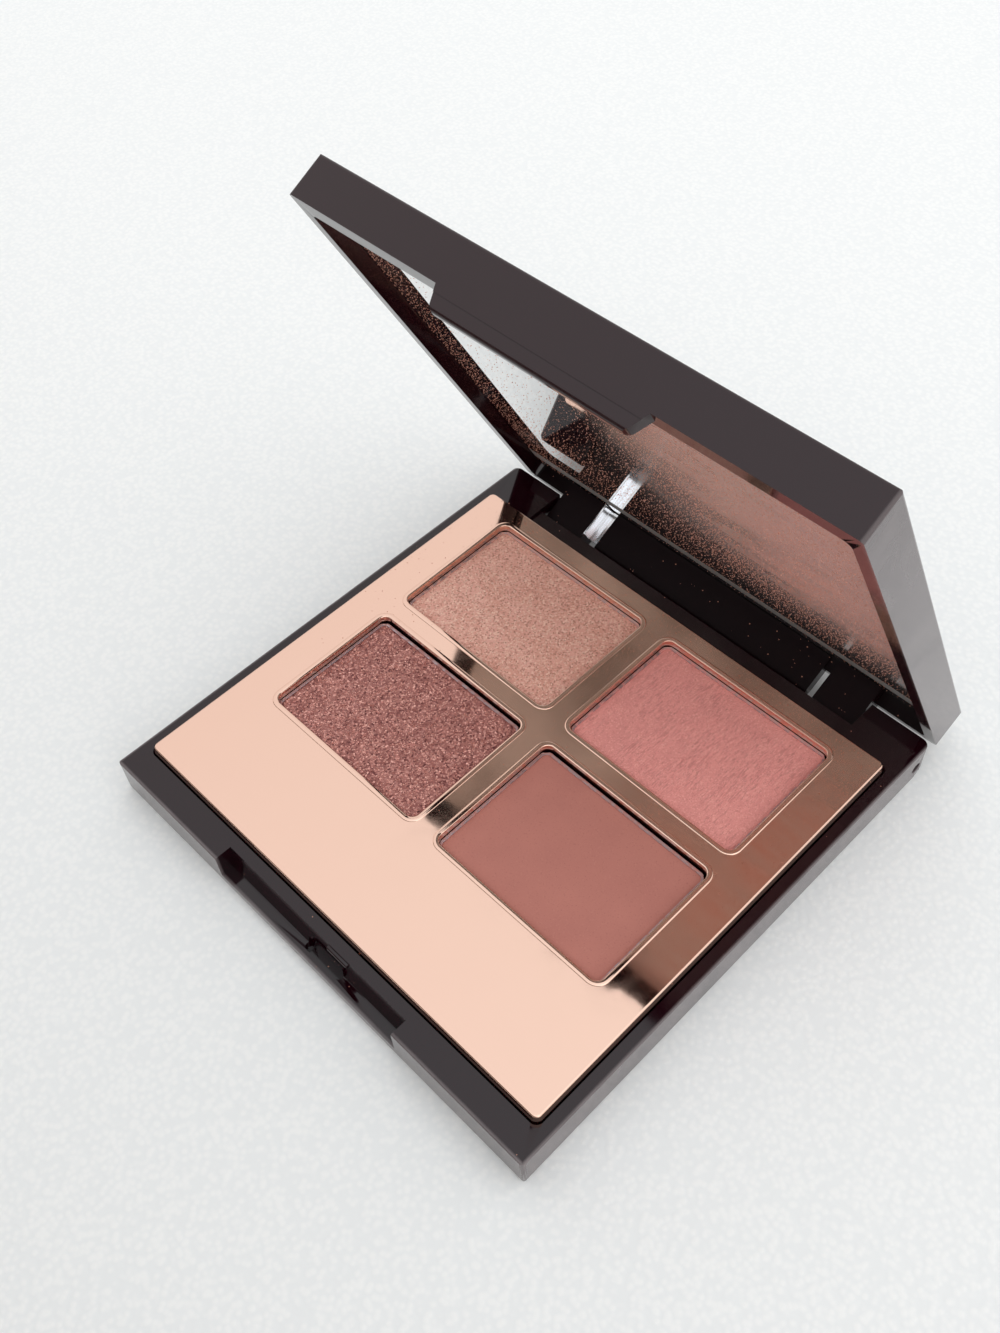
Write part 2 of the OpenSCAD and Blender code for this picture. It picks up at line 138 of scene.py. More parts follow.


# the table is covered in pale leatherette: satin, with a fine pebble grain, drawn a little coarser than
# the real one so that it shows. The hollows of the grain are painted a little darker, a painted shade
def layTable():
    half = table["size"] / 2
    material, tree, spot, surface = newMaterial("paleLeatherette")
    pebbles = addNode(tree, "ShaderNodeTexVoronoi",
                      {"Vector": spot, "Scale": 1 / table["grain"], "Smoothness": table["pebbled"]},
                      feature="SMOOTH_F1")
    between = addNode(tree, "ShaderNodeMapRange", (pebbles, *table["valleys"], 0, 1))
    # painted shade: the hollows of the grain are a little darker
    colour = addNode(tree, "ShaderNodeMix", (between, table["colour"], table["valleyShade"]), data_type="RGBA")
    feed(surface, {"Base Color": colour, "Roughness": table["roughness"]})
    height = addNode(tree, "ShaderNodeMath", (pebbles, -1.0), operation="MULTIPLY")
    raiseSurface(tree, surface, height, table["grainDepth"])
    stageSheet("table", [(-half, -half, 0), (half, -half, 0), (half, half, 0), (-half, half, 0)], material)


# a low dark card in front, seen only in the polished parts, gives them something to reflect
def standCard():
    material, tree, spot, surface = newMaterial("darkCard")
    cloud = addNode(tree, "ShaderNodeTexNoise", {"Vector": spot, "Scale": 1 / card["patch"], "Detail": 3.0})
    patches = addNode(tree, "ShaderNodeMapRange", (cloud, *card["patches"], 0, 1))
    colour = addNode(tree, "ShaderNodeMix", (patches, card["dark"], card["light"]), data_type="RGBA")
    feed(surface, {"Base Color": colour, "Roughness": card["roughness"]})
    y = -card["distance"]
    sheet = stageSheet("darkCard", [(card["left"], y, 0), (card["right"], y, 0),
                                    (card["right"], y, card["height"]), (card["left"], y, card["height"])],
                       material)
    sheet.visible_camera = False


# an overcast sky, brighter overhead, with a soft window to one side
def lightRoom():
    world = bpy.data.worlds.new("paleRoom")
    bpy.context.scene.world = world
    world.use_nodes = True
    tree = world.node_tree
    tree.nodes.clear()
    coords = addNode(tree, "ShaderNodeTexCoord").outputs["Generated"]
    height = addNode(tree, "ShaderNodeSeparateXYZ", (coords,)).outputs["Z"]
    lowPart = addNode(tree, "ShaderNodeMapRange", (height, 0.0, sky["bend"], 0, 1))
    highPart = addNode(tree, "ShaderNodeMapRange", (height, sky["bend"], 1.0, 0, 1))
    lower = addNode(tree, "ShaderNodeMix", (lowPart, sky["low"], sky["middle"]), data_type="RGBA")
    colour = addNode(tree, "ShaderNodeMix", (highPart, lower, sky["high"]), data_type="RGBA")
    dome = addNode(tree, "ShaderNodeBackground", {"Color": colour, "Strength": sky["strength"]})
    side, rise = math.radians(sky["side"]), math.radians(sky["rise"])
    toWindow = (math.sin(side) * math.cos(rise), -math.cos(side) * math.cos(rise), math.sin(rise))
    facing = addNode(tree, "ShaderNodeVectorMath", (coords, toWindow), operation="DOT_PRODUCT")
    facing = addNode(tree, "ShaderNodeMath", (facing, 0.0), operation="MAXIMUM")
    glow = addNode(tree, "ShaderNodeMath", (facing, sky["sideSpread"]), operation="POWER")
    glow = addNode(tree, "ShaderNodeMath", (glow, sky["sideStrength"]), operation="MULTIPLY")
    window = addNode(tree, "ShaderNodeBackground", {"Strength": glow})
    both = addNode(tree, "ShaderNodeAddShader", (dome, window))
    addNode(tree, "ShaderNodeOutputWorld", {"Surface": both})


bpy.context.scene.view_settings.view_transform = "Standard"
placeCamera()
layTable()
standCard()
lightRoom()
print("camera, table and light placed")

# grains of loose powder. Real ones are a few hundredths of a millimetre across, and are drawn coarser so
# that they show
dust = dict(colour="#c98f78", smallest=0.35, caseSpacing=0.45, caseSize=0.09, plateSpacing=0.315,
            plateSize=0.0825)


# loose powder that has fallen on a surface: 1 on a grain, 0 between grains
def fallout(tree, spot, amount, spacing, size):
    cells = addNode(tree, "ShaderNodeTexVoronoi", {"Vector": spot, "Scale": 1 / spacing})
    chance = addNode(tree, "ShaderNodeSeparateColor", (cells.outputs["Color"],)).outputs
    radius = addNode(tree, "ShaderNodeMapRange",
                     (chance["Green"], 0, 1, dust["smallest"] * size / spacing, size / spacing))
    grain = addNode(tree, "ShaderNodeMath", (cells.outputs["Distance"], radius), operation="LESS_THAN")
    fell = addNode(tree, "ShaderNodeMath", (chance["Red"], amount), operation="LESS_THAN")
    return addNode(tree, "ShaderNodeMath", (grain, fell), operation="MULTIPLY")


case = dict(colour="#1a030a", roughness=0.07, dust=0.02, rubAndSheen=0.34, rubAndSheenColour="#a59a9b")
lid = dict(colour="#1f050c", roughness=0.07, dust=0.0, rubAndSheen=0.28, rubAndSheenColour="#a59a9b")
# on both mouldings: smears, orange peel, and where the outer sides begin, which are painted grey with rubs
# and a painted sheen
moulding = dict(ior=1.5, smear=9.0, smears=(0.35, 0.65), uneven=(0.8, 1.2), dulled=(0.4, 0.7), duller=1.8,
                peel=5.0, peelDepth=0.004, side=34.6, front=-34.4, fade=0.3)


# moulded and polished ABS, a wine so dark that it reads as black: clear reflections, a faint
# orange peel from the mould, smears from handling, and on the outer sides a grey of rubs that is also a
# painted sheen, standing in for their bright grazing reflection
def polishedAbs(name, look):
    material, tree, spot, surface = newMaterial(name)
    along = addNode(tree, "ShaderNodeSeparateXYZ", (spot,)).outputs
    smear = addNode(tree, "ShaderNodeTexNoise", {"Vector": spot, "Scale": 1 / moulding["smear"],
                                                 "Detail": 6.0, "Distortion": 1.2})
    sideways = addNode(tree, "ShaderNodeMath", (along["X"],), operation="ABSOLUTE")
    side = addNode(tree, "ShaderNodeMapRange",
                   (sideways, moulding["side"], moulding["side"] + moulding["fade"], 0, look["rubAndSheen"]))
    front = addNode(tree, "ShaderNodeMapRange",
                    (along["Y"], moulding["front"], moulding["front"] - moulding["fade"], 0, look["rubAndSheen"]))
    outer = addNode(tree, "ShaderNodeMath", (side, front), operation="MAXIMUM")
    uneven = addNode(tree, "ShaderNodeMapRange", (smear, *moulding["smears"], *moulding["uneven"]))
    rubAndSheen = addNode(tree, "ShaderNodeMath", (outer, uneven), operation="MULTIPLY")
    # the outer sides are mixed towards grey: rubs, and a painted sheen of their grazing reflection
    colour = addNode(tree, "ShaderNodeMix", (rubAndSheen, look["colour"], look["rubAndSheenColour"]), data_type="RGBA")
    fallen = fallout(tree, spot, look["dust"], dust["caseSpacing"], dust["caseSize"])
    colour = addNode(tree, "ShaderNodeMix", (fallen, colour, dust["colour"]), data_type="RGBA")
    most = look["roughness"] * moulding["duller"]
    roughness = addNode(tree, "ShaderNodeMapRange", (smear, *moulding["dulled"], look["roughness"], most))
    feed(surface, {"Base Color": colour, "Roughness": roughness, "IOR": moulding["ior"]})
    peel = addNode(tree, "ShaderNodeTexNoise", {"Vector": spot, "Scale": 1 / moulding["peel"], "Detail": 2.0})
    raiseSurface(tree, surface, peel, moulding["peelDepth"])
    return material


flangeShade = dict(dark="#0c0306", light="#160508", grit=0.25, gritDepth=0.01, roughness=0.45, glint=0.1,
              dust=0.12)


# the same ABS on the wall by the hinge, matt, near black and with almost no glint: a painted shade, standing
# in for the dark that this wall reflects. Its grit is 0.05 mm or so on a real mould texture, and is drawn
# coarser
def shadedFlangeAbs():
    material, tree, spot, surface = newMaterial("shadedFlangeWineAbs")
    grit = addNode(tree, "ShaderNodeTexNoise", {"Vector": spot, "Scale": 1 / flangeShade["grit"], "Detail": 3.0})
    colour = addNode(tree, "ShaderNodeMix", (grit, flangeShade["dark"], flangeShade["light"]), data_type="RGBA")
    fallen = fallout(tree, spot, flangeShade["dust"], dust["caseSpacing"], dust["caseSize"])
    colour = addNode(tree, "ShaderNodeMix", (fallen, colour, dust["colour"]), data_type="RGBA")
    feed(surface, {"Base Color": colour, "Roughness": flangeShade["roughness"],
                   "Specular IOR Level": flangeShade["glint"]})
    raiseSurface(tree, surface, grit, flangeShade["gritDepth"])
    return material


gold = dict(colour="#ecc6b3", roughness=0.05, wave=8.0, waviness=0.03, rub=6.0, rubs=(0.45, 0.75), rubbed=2.5,
            dust=0.128, dustFrom=-14, dustTo=26, dustRoughness=0.8)


# vacuum-metallised plate under rose-gold lacquer: a near mirror, slightly wavy where the
# moulding shrank round its windows
def metallisedRoseGold():
    material, tree, spot, surface = newMaterial("metallisedRoseGold")
    along = addNode(tree, "ShaderNodeSeparateXYZ", (spot,)).outputs
    amount = addNode(tree, "ShaderNodeMapRange",
                     (along["Y"], gold["dustFrom"], gold["dustTo"], 0, gold["dust"]))
    fallen = fallout(tree, spot, amount, dust["plateSpacing"], dust["plateSize"])
    colour = addNode(tree, "ShaderNodeMix", (fallen, gold["colour"], dust["colour"]), data_type="RGBA")
    rubs = addNode(tree, "ShaderNodeTexNoise", {"Vector": spot, "Scale": 1 / gold["rub"], "Detail": 5.0,
                                                "Distortion": 0.8})
    most = gold["roughness"] * gold["rubbed"]
    rubbed = addNode(tree, "ShaderNodeMapRange", (rubs, *gold["rubs"], gold["roughness"], most))
    dulled = addNode(tree, "ShaderNodeMath", (fallen, gold["dustRoughness"]), operation="MULTIPLY")
    roughness = addNode(tree, "ShaderNodeMath", (rubbed, dulled), operation="MAXIMUM")
    feed(surface, {"Base Color": colour, "Metallic": 1.0, "Roughness": roughness})
    wave = addNode(tree, "ShaderNodeTexNoise", {"Vector": spot, "Scale": 1 / gold["wave"], "Detail": 2.0})
    raiseSurface(tree, surface, wave, gold["waviness"])
    return material


tin = dict(colour="#b9adb3", wipe=0.7, wipes=(0.42, 0.62), wiped=(0.1, 0.85), metallic=(1.0, 0.1),
           roughness=(0.3, 0.75))  # bare, then wiped with powder


# drawn tinplate, dulled by its lacquer, with powder wiped over the rim
def tinplate(spotName, powderColour):
    material, tree, spot, surface = newMaterial("tinplate_" + spotName)
    cloud = addNode(tree, "ShaderNodeTexNoise", {"Vector": spot, "Scale": 1 / tin["wipe"], "Detail": 5.0})
    wiped = addNode(tree, "ShaderNodeMapRange", (cloud, *tin["wipes"], *tin["wiped"]))
    colour = addNode(tree, "ShaderNodeMix", (wiped, tin["colour"], powderColour), data_type="RGBA")
    metallic = addNode(tree, "ShaderNodeMapRange", (wiped, 0, 1, *tin["metallic"]))
    roughness = addNode(tree, "ShaderNodeMapRange", (wiped, 0, 1, *tin["roughness"]))
    feed(surface, {"Base Color": colour, "Metallic": metallic, "Roughness": roughness})
    return material


pins = dict(colour="#c9c7c6", dark="#6d6664", roughness=0.25, streak=0.2)
leaf = dict(colour="#eceef2", dark="#6d6664", roughness=0.06, streak=0.3)
rolling = dict(grain=(2.2, 0.05, 0.05), streaks=(0.35, 0.6), dulled=(0.3, 0.7), duller=2)


# stainless spring steel, rolled bright: fine streaks run along it. Real ones are 0.02 mm wide, and are
# drawn about 0.5 mm wide
def rolledSteel(name, look):
    material, tree, spot, surface = newMaterial(name)
    drawn = addNode(tree, "ShaderNodeMapping", {"Vector": spot, "Scale": rolling["grain"]})
    lines = addNode(tree, "ShaderNodeTexNoise", {"Vector": drawn, "Scale": 1.0, "Detail": 5.0})
    streaks = addNode(tree, "ShaderNodeMapRange", (lines, *rolling["streaks"], look["streak"], 0))
    colour = addNode(tree, "ShaderNodeMix", (streaks, look["colour"], look["dark"]), data_type="RGBA")
    most = look["roughness"] * rolling["duller"]
    roughness = addNode(tree, "ShaderNodeMapRange", (lines, *rolling["dulled"], look["roughness"], most))
    feed(surface, {"Base Color": colour, "Metallic": 1.0, "Roughness": roughness})
    return material


# the ground edge and the film are placed by millimetres up the glass from the hinge
glass = dict(colour="#e9ebeb", film="#d08f7c", edge="#a0a3a2", hingeY=38.12, hingeZ=4.66, tilt=63.0,
             edgeFrom=3.2, edgeTo=5.6, edgeFade=0.2, filmLeft=-8, filmRight=18, leftShare=0.04, filmLow=8,
             filmHigh=28, upShare=(0.05, 0.6), wipe=2.5, wipeLength=5, wipes=(0.35, 0.65),
             wipeShare=(0.75, 1.15), dullRoughness=0.7)


# silvered glass, dulled on the right by a film of the finest powder, with a ground edge along the hinge
def silveredGlass():
    material, tree, spot, surface = newMaterial("silveredGlass")
    along = addNode(tree, "ShaderNodeSeparateXYZ", (spot,)).outputs
    up = math.radians(glass["tilt"])
    offset = -(-math.cos(up) * glass["hingeY"] + math.sin(up) * glass["hingeZ"])
    height = addNode(tree, "ShaderNodeVectorMath", (spot, (0, -math.cos(up), math.sin(up))),
                     operation="DOT_PRODUCT")
    height = addNode(tree, "ShaderNodeMath", (height, offset), operation="ADD")
    wiped = addNode(tree, "ShaderNodeMapping", {"Vector": spot, "Scale": (1 / glass["wipeLength"], 1, 1)})
    wipes = addNode(tree, "ShaderNodeTexNoise", {"Vector": wiped, "Scale": 1 / glass["wipe"], "Detail": 4.0})
    cloud = addNode(tree, "ShaderNodeMapRange", (wipes, *glass["wipes"], *glass["wipeShare"]))
    toRight = addNode(tree, "ShaderNodeMapRange",
                      (along["X"], glass["filmLeft"], glass["filmRight"], glass["leftShare"], 1))
    upwards = addNode(tree, "ShaderNodeMapRange",
                      (height, glass["filmLow"], glass["filmHigh"], *glass["upShare"]))
    covered = addNode(tree, "ShaderNodeMath", (toRight, cloud), operation="MULTIPLY")
    covered = addNode(tree, "ShaderNodeMath", (covered, upwards), operation="MULTIPLY")
    start, end, fade = glass["edgeFrom"], glass["edgeTo"], glass["edgeFade"]
    above = addNode(tree, "ShaderNodeMapRange", (height, start - fade, start, 0, 1))
    below = addNode(tree, "ShaderNodeMapRange", (height, end, end + fade, 1, 0))
    edge = addNode(tree, "ShaderNodeMath", (above, below), operation="MULTIPLY")
    colour = addNode(tree, "ShaderNodeMix", (covered, glass["colour"], glass["film"]), data_type="RGBA")
    colour = addNode(tree, "ShaderNodeMix", (edge, colour, glass["edge"]), data_type="RGBA")
    hidden = addNode(tree, "ShaderNodeMath", (covered, edge), operation="MAXIMUM")
    metallic = addNode(tree, "ShaderNodeMapRange", (hidden, 0, 1, 1, 0))
    roughness = addNode(tree, "ShaderNodeMapRange", (hidden, 0, 1, 0.0, glass["dullRoughness"]))
    feed(surface, {"Base Color": colour, "Metallic": metallic, "Roughness": roughness})
    return material


brush = dict(turn=0.05, across=6.5, along=1.1, patch=4.5, patches=(0.4, 0.58), leastPatch=0.15,
             shadedSides=(0.5, 0.36), litSides=(0.54, 0.68))
pressing = dict(clouds=(0.35, 0.65), sparkPearl=2.5)


# pressed eyeshadow, mineral powder in a little binder: dull, with its grains just visible. The grains are
# 0.01 to 0.05 mm, and are drawn coarser so that they show; pearl is the share of mica in the mix
def pressedPowder(name, look):
    material, tree, spot, surface = newMaterial(name)
    clouds = addNode(tree, "ShaderNodeTexNoise", {"Vector": spot, "Scale": 1 / look["cloud"], "Detail": 5.0})
    cloud = addNode(tree, "ShaderNodeMapRange", (clouds, *pressing["clouds"], 0, 1))
    cells = addNode(tree, "ShaderNodeTexVoronoi", {"Vector": spot, "Scale": 1 / look["flake"]})
    pick = addNode(tree, "ShaderNodeSeparateColor", (cells.outputs["Color"],)).outputs
    dark = addNode(tree, "ShaderNodeMapRange", (pick["Blue"], 1 - look["pitShare"], 1, 0, 1))
    light = addNode(tree, "ShaderNodeMapRange", (pick["Green"], 1 - look["sparkShare"], 1, 0, 1))
    layers = [(cloud, look["colour"]), (dark, look["pit"]), (light, look["spark"])]
    # painted shade and painted highlight: each brush line is painted with a shaded side and a lit side
    if look["brushShading"]:  # fine lines drawn front to back by the brush, a darker side and a lighter side
        drawn = addNode(tree, "ShaderNodeMapping", {"Vector": spot, "Rotation": (0, 0, brush["turn"]),
                                                    "Scale": (brush["across"], brush["along"], 1)})
        lines = addNode(tree, "ShaderNodeTexNoise", {"Vector": drawn, "Scale": 1.0, "Detail": 2.0,
                                                     "Distortion": 0.6})
        patches = addNode(tree, "ShaderNodeTexNoise", {"Vector": spot, "Scale": 1 / brush["patch"],
                                                       "Detail": 2.0})
        patch = addNode(tree, "ShaderNodeMapRange", (patches, *brush["patches"], brush["leastPatch"], 1))
        # the darker colour paints each line's shaded side, and the spark colour paints its lit side
        for reach, colour in ((brush["shadedSides"], look["grooveShade"]), (brush["litSides"], look["spark"])):
            line = addNode(tree, "ShaderNodeMapRange", (lines, *reach, 0, look["brushShading"]))
            layers.append((addNode(tree, "ShaderNodeMath", (patch, line), operation="MULTIPLY"), colour))
    toned = look["shade"]
    for layer, colour in layers:
        toned = addNode(tree, "ShaderNodeMix", (layer, toned, colour), data_type="RGBA")
    most = look["pearl"] * pressing["sparkPearl"]
    pearl = addNode(tree, "ShaderNodeMapRange", (light, 0, 1, look["pearl"], most))
    feed(surface, {"Base Color": toned, "Metallic": pearl, "Roughness": look["roughness"]})
    raiseSurface(tree, surface, pick["Red"], look["tilt"])
    return material


mica = dict(patch=1.5, tones=(0.35, 0.65))  # patches of tone, in sizes of the plate


# mica coated with iron oxide: thin plates with a soft metallic flash
def coatedMica(name, look):
    material, tree, spot, surface = newMaterial(name)
    cloud = addNode(tree, "ShaderNodeTexNoise", {"Vector": spot, "Scale": 1 / (look["size"] * mica["patch"]),
                                                 "Detail": 1.0})
    tone = addNode(tree, "ShaderNodeMapRange", (cloud, *mica["tones"], 0, 1))
    colour = addNode(tree, "ShaderNodeMix", (tone, look["deep"], look["colour"]), data_type="RGBA")
    feed(surface, {"Base Color": colour, "Metallic": look["metallic"], "Roughness": look["roughness"]})
    return material


tape = dict(dark="#d9d4c8", light="#ece8df", patch=0.7, detail=3.0, roughness=0.6)
label = dict(dark="#d3cfcd", light="#dedad8", patch=3.0, detail=4.0, roughness=0.4)


# acrylic foam tape, off-white and open-celled, and polypropylene film left blank, satin and slightly uneven
def plainSheet(name, look):
    material, tree, spot, surface = newMaterial(name)
    cloud = addNode(tree, "ShaderNodeTexNoise", {"Vector": spot, "Scale": 1 / look["patch"],
                                                 "Detail": look["detail"]})
    colour = addNode(tree, "ShaderNodeMix", (cloud, look["dark"], look["light"]), data_type="RGBA")
    feed(surface, {"Base Color": colour, "Roughness": look["roughness"]})
    return material


casePlastic = polishedAbs("polishedWineAbs", case)
lidPlastic = polishedAbs("polishedWineAbsLid", lid)
hingeShadePlastic = shadedFlangeAbs()
roseGold = metallisedRoseGold()
pinSteel = rolledSteel("groundPinSteel", pins)
leafSteel = rolledSteel("brightLeafSteel", leaf)
mirrorSilver = silveredGlass()
adhesive = plainSheet("acrylicTape", tape)
labelFilm = plainSheet("blankFilm", label)
print("finishes made")


def newPiece(name, bm, material, body, slot, *stoodFor):
    mesh = bpy.data.meshes.new(name)
    bm.to_mesh(mesh)
    bm.free()
    mesh.materials.append(material)
    return addPiece(name, mesh, body, slot, *stoodFor)


def addPiece(name, mesh, body, slot, *stoodFor):
    piece = bpy.data.objects.new(name, mesh)
    bpy.context.scene.collection.objects.link(piece)
    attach(piece, body)
    if stoodFor:
        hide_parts(*stoodFor)
    return piece


# faces join smoothly up to this angle, and flat faces keep their flat normals
def smoothShading(piece, angle=35):
    bm = bmesh.new()
    bm.from_mesh(piece.data)
    for face in bm.faces:
        face.smooth = True
    for edge in bm.edges:
        edge.smooth = len(edge.link_faces) == 2 and edge.calc_face_angle(0) < math.radians(angle)
    bm.to_mesh(piece.data)
    bm.free()
    weighted = piece.modifiers.new("flatFacesStayFlat", "WEIGHTED_NORMAL")
    weighted.weight, weighted.keep_sharp = 90, True


# a CAD solid with its edges broken as tooling leaves them
def brokenEdges(node, name, material, body, slot, width, segments=2, angle=30):
    bm = bmesh.new()
    bm.from_mesh(frame["nodes"][node].data)
    bmesh.ops.remove_doubles(bm, verts=bm.verts, dist=1e-7)  # its triangles are loose
    bmesh.ops.dissolve_limit(bm, angle_limit=math.radians(0.5), verts=bm.verts, edges=bm.edges)
    corners = [e for e in bm.edges
               if len(e.link_faces) == 2 and e.calc_face_angle(0) > math.radians(angle)]
    bmesh.ops.bevel(bm, geom=corners, offset=width * mm, segments=segments, affect="EDGES",
                    clamp_overlap=True, profile=0.5)
    bmesh.ops.triangulate(bm, faces=[f for f in bm.faces if len(f.verts) > 4])
    piece = newPiece(name, bm, material, body, slot, node)
    smoothShading(piece)
    return piece


def roundedLoop(low, high, radius, steps=10):
    points = []
    for cx, cy, start in ((high[0] - radius, high[1] - radius, 0), (low[0] + radius, high[1] - radius, 90),
                          (low[0] + radius, low[1] + radius, 180), (high[0] - radius, low[1] + radius, 270)):
        for i in range(steps + 1):
            turn = math.radians(start + 90 * i / steps)
            points.append((cx + radius * math.cos(turn), cy + radius * math.sin(turn)))
    return points


def addRing(bm, points, height):
    return [bm.verts.new((x * mm, y * mm, height * mm)) for x, y in points]


def bridge(bm, lower, upper):
    for i in range(len(lower)):
        j = (i + 1) % len(lower)
        bm.faces.new((lower[i], lower[j], upper[j], upper[i]))


# widths of the broken edges, in millimetres
edgeBreak = dict(case=0.08, pan=0.06, glass=0.15, leaf=0.06, pin=0.12, label=0.03)

# the wall behind the plate, which takes the near-black matt finish as a painted shade: the way it faces with
# the lid open as stored, and where it is
flange = dict(facing=(0, -0.454, 0.891), match=0.9, behind=30, below=9)

brokenEdges("base_shell", "case_base", casePlastic, "base", "case_plastic", edgeBreak["case"])
lidShell = brokenEdges("lid_shell", "case_lid", lidPlastic, "lid", "lid_plastic", edgeBreak["case"])
# painted shade: the wall behind the plate is made near black and matt
lidShell.data.materials.append(hingeShadePlastic)
for face in lidShell.data.polygons:
    centre = face.center / mm
    if (face.normal.dot(Vector(flange["facing"])) > flange["match"] and centre.y > flange["behind"]
            and centre.z < flange["below"]):
        face.material_index = 1
print("case dressed")

# the bead is the raised line round each window
plate = dict(thickness=0.9, skirt=0.9, cornerRadius=1.0, leastRadius=0.3, lean=0.25, leanStart=1.35,
             edgeRadius=0.25, edgeSteps=5, beadWidth=0.7, beadHeight=0.12, beadSteps=10, windowWidth=25.6,
             windowDepth=18.65, windowRadius=1.1, windowX=14.75, windowY=(15.625, -6.425))


def makePlate():
    low, high = (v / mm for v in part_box("insert_plate"))
    face = high.z - plate["beadHeight"]
    under = face - plate["thickness"]
    radius, lean, edge = plate["cornerRadius"], plate["lean"], plate["edgeRadius"]
    bm = bmesh.new()

    def outline(inset, height):
        return addRing(bm, roundedLoop((low.x + inset, low.y + inset), (high.x - inset, high.y - inset),
                                       max(radius - inset, plate["leastRadius"])), height)

    # inset from the edge and height, up the plate's side and over its edge onto its face
    profile = [(0, low.z), (0, low.z + plate["leanStart"]), (lean, face - edge)]
    turns = [math.radians(90 * (i + 1) / plate["edgeSteps"]) for i in range(plate["edgeSteps"])]
    profile += [(lean + edge * (1 - math.cos(turn)), face - edge + edge * math.sin(turn)) for turn in turns]
    sides = [outline(inset, height) for inset, height in profile]
    skirtFoot, skirtTop = outline(plate["skirt"], low.z), outline(plate["skirt"], under)
    for lower, upper in list(zip(sides, sides[1:])) + [(sides[0], skirtFoot), (skirtFoot, skirtTop)]:
        bridge(bm, lower, upper)
    topLoops, underLoops = [sides[-1]], [skirtTop]
    width, tall, steps = plate["beadWidth"], plate["beadHeight"], plate["beadSteps"]
    arch = [(width * (0.5 + 0.5 * math.cos(math.pi * i / steps)), face + tall * math.sin(math.pi * i / steps))
            for i in range(steps + 1)]
    halfX, halfY = plate["windowWidth"] / 2, plate["windowDepth"] / 2
    for cx in (-plate["windowX"], plate["windowX"]):
        for cy in plate["windowY"]:
            rings = [addRing(bm, roundedLoop((cx - halfX - out, cy - halfY - out),
                                             (cx + halfX + out, cy + halfY + out),
                                             plate["windowRadius"] + out), height)
                     for out, height in arch + [(0, under)]]
            for lower, upper in zip(rings, rings[1:]):
                bridge(bm, lower, upper)
            topLoops.append(rings[0])
            underLoops.append(rings[-1])
    for loops in (topLoops, underLoops):
        edges = [bm.edges.get((loop[i], loop[(i + 1) % len(loop)]))
                 for loop in loops for i in range(len(loop))]
        bmesh.ops.triangle_fill(bm, use_beauty=True, use_dissolve=False, edges=edges)
    bmesh.ops.recalc_face_normals(bm, faces=bm.faces)
    smoothShading(newPiece("insert_plate_lacquered", bm, roseGold, "base", "rose_gold", "insert_plate"),
                  angle=50)


makePlate()
print("insert plate made")

powders = {
    "back_left": dict(colour="#ecb1a1", shade="#e3a593", pit="#b87a69", spark="#fad3c0", cloud=3.0,
                      flake=0.2, sparkShare=0.35, pitShare=0.35, roughness=0.6, pearl=0.08,
                      tilt=0.02, relief=0.010, grain=0.45, scuffs=0, brushShading=0),
    "back_right": dict(colour="#e99a93", shade="#e1958e", pit="#cf837d", spark="#f2aca3", cloud=5.0,
                       flake=0.13, sparkShare=0.25, pitShare=0.25, roughness=0.9, pearl=0.0,
                       tilt=0.006, relief=0.010, grain=0.6, scuffs=260, brushShading=0.42,
                       grooveShade="#ab6764"),
    "front_left": dict(colour="#b0736a", shade="#92554f", pit="#652d2b", spark="#d0948b", cloud=1.2,
                       flake=0.24, sparkShare=0.3, pitShare=0.4, roughness=0.6, pearl=0.1,
                       tilt=0.05, relief=0.03, grain=0.4, scuffs=0, brushShading=0),
    "front_right": dict(colour="#bb7a6e", shade="#b5756a", pit="#ad6e63", spark="#bb7c70", cloud=6.0,
                        flake=0.14, sparkShare=0.1, pitShare=0.1, roughness=0.9, pearl=0.0,
                        tilt=0.004, relief=0.005, grain=0.7, scuffs=0, brushShading=0),
}

# mica plates on two of the cakes, and crumbs of them on the mirror. Real ones are 0.03 to 0.1 mm across,
# and are drawn coarser so that they show
grains = {
    "back_left": dict(colour="#fbd8c6", deep="#e1ad99", size=0.19, thickness=0.02, sides=6, count=5.0,
                      tilt=24, backShare=0.15, metallic=0.6, roughness=0.4, seed=3),
    "front_left": dict(colour="#ebb2a5", deep="#bb7a71", size=0.24, thickness=0.03, sides=6, count=13.0,
                       tilt=30, backShare=0.95, metallic=0.6, roughness=0.4, seed=5),
    "mirror": dict(colour="#ecb49e", deep="#cb8c76", size=0.13, thickness=0.08, sides=3, count=10.0, tilt=80,
                   metallic=0.3, roughness=0.5, seed=9),
}

# waves are (length, share) in the powder's surface
cake = dict(columns=200, rows=144, edgeRound=0.16, edgeDrop=0.05, cornerRadius=0.7, sink=0.03, seed=7,
            waves=((9.0, 1.2), (3.0, 0.8), (1.1, 0.6)), wavesEach=14, spread=(0.8, 1.25), bareRows=2)
scuff = dict(middle=(2.5, 0.0), reach=(5.0, 4.5), turn=88, turnReach=9, length=(0.3, 1.1),
             width=(0.07, 0.13), depth=(0.02, 0.07), burr=0.5, burrPlace=1.7)
rim = dict(flare=0.1, depth=0.25, width=0.12)


